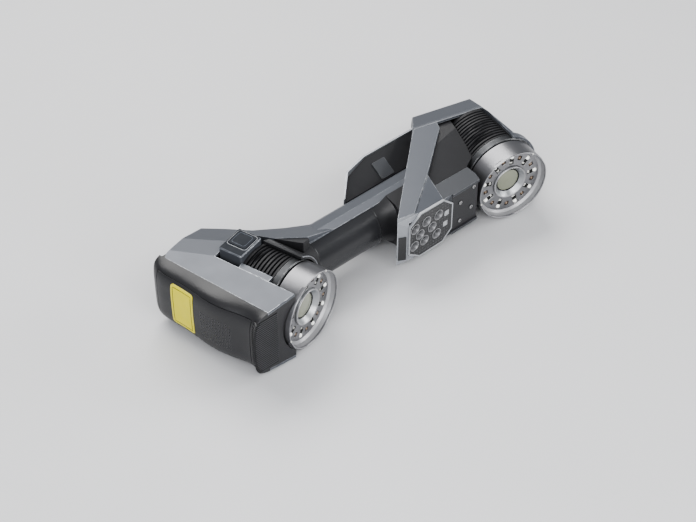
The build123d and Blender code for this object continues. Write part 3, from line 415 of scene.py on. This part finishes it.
DOT_ANGLES = (58, 196)
LAMPS = 9
LAMP_PITCH = 360 / LAMPS
FIRST_LAMP = 8        # degrees
AMBER_RADIUS = 23.4
LIP_Z = -6.78         # centre of the beads round the lamp windows


def lamps(side):
    """Lamps with their windows, and an amber dome halfway to the next lamp."""
    lenses, spots, lips, pits, ambers = [bmesh.new() for _ in range(5)]
    for k in range(LAMPS):
        angle = FIRST_LAMP + LAMP_PITCH * k
        lathe(lenses, LAMP_LENS, on_ring(side, angle, 25.4), 20)
        lathe(spots, LAMP_SPOT, on_ring(side, angle, 19.4), 14)
        # near-black pit beside each lamp: painted shade
        pit = on_ring(side, angle, 22.0)
        prism(pits, *[round_rect(pit, 3.0, 3.7, 0.5, 3, z) for z in (-7.75, -6.95)])
        bead(lips, round_rect(on_ring(side, angle, 22.8, LIP_Z), 10.2, 4.4, 0.7), 0.24, 6)
        angle += LAMP_PITCH / 2
        lathe(ambers, AMBER_DOME, on_ring(side, angle, AMBER_RADIUS), 16)
        window = on_ring(side, angle, AMBER_RADIUS, LIP_Z)
        bead(lips, round_rect(window, 4.2, 4.2, 0.6), 0.2, 6)
    piece(side + "_lamp_lenses", lenses, "white_lamp")
    piece(side + "_lamp_spots", spots, "white_dim")
    piece(side + "_window_lips", lips, "mask_metal")
    piece(side + "_lamp_pits", pits, "shade_black")
    piece(side + "_amber_domes", ambers, "red_lamp")


def lamp_head(side):
    # domed front element in place of the plain glass disc
    element = piece(side + "_front_element", lathe(bmesh.new(), LENS, HEADS[side], 72),
                    "lens_glass")
    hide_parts(side + "_lens_glass")
    for name, finish, slot_name, segments, profile in HEAD_RINGS:
        ring = lathe(bmesh.new(), profile, HEADS[side], segments)
        piece(side + "_" + name, ring, finish)
    dots = bmesh.new()
    for angle in DOT_ANGLES:
        lathe(dots, INDEX_DOT, on_ring(side, angle, 32.3), 20)
    piece(side + "_index_dots", dots, "white_dim")
    lamps(side)


# ------------------------------------------------------------------ lips on the shells, light beads painted as highlights
SHELL_RADIUS = 36.35
SHELL_Z = -20.05      # behind the ring face
SHELL_ARC = 66        # degrees either side of the across axis
ROOF_Z = -70.6
ROOF_SINK = 0.12      # bead centre below the roof
# planes of the roof: height at the origin, slope along x, slope along y
ROOF_PLANES = [(23.2335, 0.0215, 0.0985), (59.41, -0.0654, -0.2547), (288.4, -0.542, -2.112)]
ROOF_FLAT = 33.2      # highest roof where across < 0
ROOF_RADIUS = 36.2    # round shoulder beyond


def shell_lip():
    """Arc behind the lower ring, on the side towards the beam, in a light finish: painted
    highlight along the shell's edge.
    """
    points = []
    for k in range(49):
        angle = math.radians(-SHELL_ARC + 2 * SHELL_ARC * k / 48)
        points.append(on_head("lower", SHELL_RADIUS * math.cos(angle),
                              SHELL_RADIUS * math.sin(angle), SHELL_Z))
    piece("shell_lip", bead(bmesh.new(), points, 0.45, closed=False), "rim_highlight")


def roof_lip():
    """Bead across the upper head's roof, well behind the ring, on its lowest surface, in a light
    finish: painted highlight along the roof's edge.
    """
    points = []
    for k in range(60):
        across = -57.0 + 65.5 * k / 59
        point = on_head("upper", across, 0, ROOF_Z)
        x, y = (point.x - ORIGIN.x) / MM, (point.y - ORIGIN.y) / MM
        heights = [height + x_slope * x + y_slope * y for height, x_slope, y_slope in ROOF_PLANES]
        heights.append(ROOF_FLAT if across < 0 else math.sqrt(ROOF_RADIUS ** 2 - across ** 2))
        point.z = ORIGIN.z + (min(heights) - ROOF_SINK) * MM
        points.append(point)
    piece("roof_lip", bead(bmesh.new(), points, 0.4, closed=False), "rim_highlight")


# ------------------------------------------------------------------ front of the beam
# centres as (x, z)
LASERS = [(30, 10.1), (16.3, 10.8), (3.4, 9.7), (22.9, 1.4), (9.3, 1.0), (28.6, -9),
          (14.5, -8), (3.2, -8.1)]
INDICATORS = [(39.5, 6.9), (38.5, -3.8)]
SCREWS = [(57, 7), (72, 16), (70, -4.3), (57, -12)]
# profiles as (radius, -y)
FUNNEL = [(4.85, -7.45), (4.85, -7.15), (4.3, -7.1), (3.1, -10.3), (3.1, -10.8), (4.3, -10.8),
          (4.3, -7.75)]
LASER_LENS = dome(radius=3.05, base=-10.6, height=1.5, steps=6, bottom=-10.85)
EYELET = [(0.42, -7.54), (0.5, -7.42), (0.68, -7.42), (0.74, -7.56)]
SCREW_HEAD = [(0.75, -8.0), (1.35, -7.98), (1.7, -8.2), (1.75, -8.62), (0.75, -8.62)]
SCREW_SOCKET = [(0, -8.35), (0.76, -8.35), (0.76, -8.6), (0, -8.6)]
EYELET_PITCH = 3.1


def front_set(name, centres, profile, segments, finish):
    """The same turned shape at each centre, facing the front."""
    mesh = bmesh.new()
    for x, z in centres:
        lathe(mesh, profile, facing_front(x, z), segments)
    piece(name, mesh, finish)


def eyelet_free(x, z):
    """True where the panel has room for an eyelet."""
    near_laser = any(math.hypot(x - a, z - b) < 5.9 for a, b in LASERS)
    near_indicator = any(max(abs(x - a), abs(z - b)) < 3.3 for a, b in INDICATORS)
    half_height = 14.0 + min((x + 1.5) * 0.62, (45.0 - x) * 0.8, 6.2)
    return not (near_laser or near_indicator or abs(z) > half_height)


def beam_front():
    front_set("laser_funnels", LASERS, FUNNEL, 40, "funnel")
    front_set("laser_lenses", LASERS, LASER_LENS, 32, "clear_glass")
    frames = bmesh.new()
    for x, z in INDICATORS:
        bead(frames, round_rect(facing_front(x, z), 4.5, 4.5, 0.5, 3, z=-7.5), 0.25, 6)
    piece("indicator_frames", frames, "bezel")
    grid = [(0.6 + EYELET_PITCH * i, -18.6 + EYELET_PITCH * j)
            for i in range(14) for j in range(13)]
    eyelets = [centre for centre in grid if eyelet_free(*centre)]
    front_set("panel_eyelets", eyelets, EYELET, 10, "eyelet")
    front_set("screw_heads", SCREWS, SCREW_HEAD, 28, "steel")
    # near-black discs in the screw heads: painted shade of the sockets
    front_set("screw_sockets", SCREWS, SCREW_SOCKET, 6, "shade_black")


# ------------------------------------------------------------------ side key
def key_square(up, size, corner):
    """Rounded square level with the top of the lower head, centred on the key."""
    centre = Matrix.Translation(Vector((1.5 * MM, up * MM, -67.2 * MM)))
    level = HEADS["lower"] @ centre @ Matrix.Rotation(math.radians(-90), 4, "X")
    return round_rect(level, size, size, corner)


def side_key():
    square = key_square(37.72, size=18.0, corner=2.5)
    piece("key_frame", bead(bmesh.new(), square, 0.28), "bezel")
    key_top = (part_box("side_key")[1].z - ORIGIN.z) / MM
    square = key_square(key_top - 0.02, size=12.6, corner=2.2)
    piece("key_pad_line", bead(bmesh.new(), square, 0.16), "key_line",
          body="side_key_body")


# ------------------------------------------------------------------ -X end
LABEL_Y, LABEL_Z = 68, 1
LABEL_CORNERS = [(-9.4, -17.4), (9.4, -17.4), (9.4, 17.4), (-9.4, 17.4)]   # y, z from its centre
PANEL_Y, PANEL_Z = 34.5, -2
HOLE_PITCH = 3.0
HOLE_REACH = 0.95     # half the gap between the two probes of each hole
HOLE_RIM = [(0.62, -0.05), (0.68, 0.09), (0.86, 0.09), (0.95, -0.05)]
# share of the half height -> share of the end housing's bulge
BULGE = [(0, 1), (0.38, 0.985), (0.70, 0.91), (0.86, 0.72), (0.945, 0.40), (1, 0)]
HALF_HEIGHT = 27.0
RIB_SECTION = [(-3.9, -0.36), (-4.35, -0.2), (-4.35, 0.2), (-3.9, 0.36)]   # y, z


def surface_tree(node_name):
    data = frame["nodes"][node_name].data
    return BVHTree.FromPolygons([vertex.co.copy() for vertex in data.vertices],
                                [list(face.vertices) for face in data.polygons])


def hit_end(tree, y, z):
    """Surface point seen from the -X end and its outward normal, or None for a miss."""
    point, normal = tree.ray_cast(place(-215, y, z), Vector((1, 0, 0)))[:2]
    if point is None:
        return None
    return point, normal if normal.x < 0 else -normal


def label_border():
    tree = surface_tree("warning_label")
    points = []
    for (y0, z0), (y1, z1) in zip(LABEL_CORNERS, LABEL_CORNERS[1:] + LABEL_CORNERS[:1]):
        for k in range(14):
            share = k / 14
            hit = hit_end(tree, LABEL_Y + y0 + (y1 - y0) * share,
                          LABEL_Z + z0 + (z1 - z0) * share)
            if hit:
                points.append(hit[0])
    piece("label_border", bead(bmesh.new(), points, 0.2, 6), "ink")


def panel_holes():
    """Raised rims on the end panel, each square to the surface under it."""
    tree = surface_tree("end_panel")
    rims = bmesh.new()
    for i in range(10):
        for j in range(9):
            y, z = PANEL_Y + HOLE_PITCH * (i - 4.5), PANEL_Z + HOLE_PITCH * (j - 4)
            hits = [hit_end(tree, y + reach, z) for reach in (HOLE_REACH, -HOLE_REACH)]
            if not all(hits):
                continue
            (point_a, normal_a), (point_b, normal_b) = hits
            outward = ((normal_a + normal_b) / 2).normalized()
            seat = outward.to_track_quat("Z", "Y").to_matrix().to_4x4()
            seat.translation = (point_a + point_b) / 2
            lathe(rims, HOLE_RIM, seat, 12)
    piece("panel_holes", rims, "eyelet")


def bulge(share):
    for (a, bulge_a), (b, bulge_b) in zip(BULGE, BULGE[1:]):
        if share <= b:
            return bulge_a + (bulge_b - bulge_a) * (share - a) / (b - a)


def air_ribs():
    """Level ribs over the front air slots, following the bulge at their -X ends; lighter than the
    housing as a painted highlight.
    """
    ribs = bmesh.new()
    for k in range(25):
        z = -24 + 2.0 * k
        outer = -160.7 - 13.2 * bulge(abs(z) / HALF_HEIGHT)
        prism(ribs, *[[place(x, y, z + dz) for y, dz in RIB_SECTION] for x in (outer, -152.2)])
    piece("air_ribs", ribs, "rib")


# ------------------------------------------------------------------ grip
BAND_RADIUS = 20.62
BAND_START = math.acos(-7.6 / 20.7)    # grip radius 20.7, open in front of y = -7.6 off its axis


def grip_bands():
    """Arcs round the -Y side of the grip, whose axis runs along X at y = 50."""
    # local z along +X, local x along +Y
    axis = Matrix.Translation(place(0, 50, 0)) @ Matrix(
        ((0, 0, 1, 0), (1, 0, 0, 0), (0, 1, 0, 0), (0, 0, 0, 1)))
    # offset from the band's radius, offset along X
    section = [(-0.5, -0.9), (0.02, -0.55), (0.12, 0), (0.02, 0.55), (-0.5, 0.9)]
    for name, x in (("grip_band_upper", -13.2), ("grip_band_lower", -77.6)):
        profile = [(BAND_RADIUS + rise, x + along) for rise, along in section]
        band = lathe(bmesh.new(), profile, axis, 56, BAND_START, 2 * math.pi - BAND_START)
        piece(name, band, "band_gloss")


for head in ("lower", "upper"):
    lamp_head(head)
shell_lip()
roof_lip()
beam_front()
side_key()
label_border()
panel_holes()
air_ribs()
grip_bands()


# ------------------------------------------------------------------ stage, in metres
def floor(half=6, z=-0.0004):
    material = make_material("floor", color=(0.62, 0.62, 0.63), rough=0.6, tint_var=0.015,
                             rough_var=0.05, grain=4, bump=0.04, bump_scale=300)
    data = bpy.data.meshes.new("floor")
    corners = [(-half, -half, z), (half, -half, z), (half, half, z), (-half, half, z)]
    data.from_pydata(corners, [], [[0, 1, 2, 3]])
    thing = bpy.data.objects.new("floor", data)
    bpy.context.scene.collection.objects.link(thing)
    set_material(thing, material)


def area(name, location, target, width, height, power, color=(1, 1, 1)):
    light = bpy.data.lights.new(name, "AREA")
    light.shape = "RECTANGLE"
    light.size = width
    light.size_y = height
    light.energy = power
    light.color = color
    lamp = bpy.data.objects.new(name, light)
    lamp.location = location
    aim = Vector(target) - Vector(location)
    lamp.rotation_euler = aim.to_track_quat("-Z", "Y").to_euler()
    bpy.context.scene.collection.objects.link(lamp)


def camera(tilt, heading, position):
    """Camera looking down by tilt and turned from +Y towards +X by heading."""
    data = bpy.data.cameras.new("cam")
    data.sensor_width = 36.0
    data.lens = 80.172414
    data.clip_start = 0.01
    thing = bpy.data.objects.new("cam", data)
    bpy.context.scene.collection.objects.link(thing)
    right = Vector((math.cos(heading), -math.sin(heading), 0))
    ahead = Vector((math.cos(tilt) * math.sin(heading), math.cos(tilt) * math.cos(heading),
                    -math.sin(tilt)))
    up = right.cross(ahead)
    thing.matrix_world = Matrix((*zip(right, up, -ahead, position), (0, 0, 0, 1)))
    bpy.context.scene.camera = thing


floor()
area("key", (0.15, 0.80, 1.10), (0, 0, 0), width=1.3, height=0.7, power=19, color=(1, 0.99, 0.97))
area("fill", (-1.1, -0.5, 0.8), (0, 0, 0.02), width=0.8, height=0.8, power=9,
     color=(0.97, 0.98, 1))
area("rim", (1.1, -0.6, 0.6), (0.02, 0, 0.02), width=0.7, height=0.7, power=7)
area("front", (-0.15, -1.2, 0.5), (0, 0, 0.02), width=0.6, height=0.6, power=6)
area("strip", (-0.35, -0.75, 0.95), (0, 0, 0.03), width=0.9, height=0.12, power=5)
scene = bpy.context.scene
scene.world = bpy.data.worlds.new("studio")
scene.world.use_nodes = True
sky = scene.world.node_tree.nodes["Background"]
sky.inputs["Color"].default_value = (0.85, 0.88, 0.92, 1)
sky.inputs["Strength"].default_value = 0.35
camera(tilt=math.radians(41.702), heading=math.radians(42.475),
       position=place(-677.807, -656.427, 821.861))
scene.view_settings.view_transform = "AgX"
scene.view_settings.look = "AgX - Medium High Contrast"
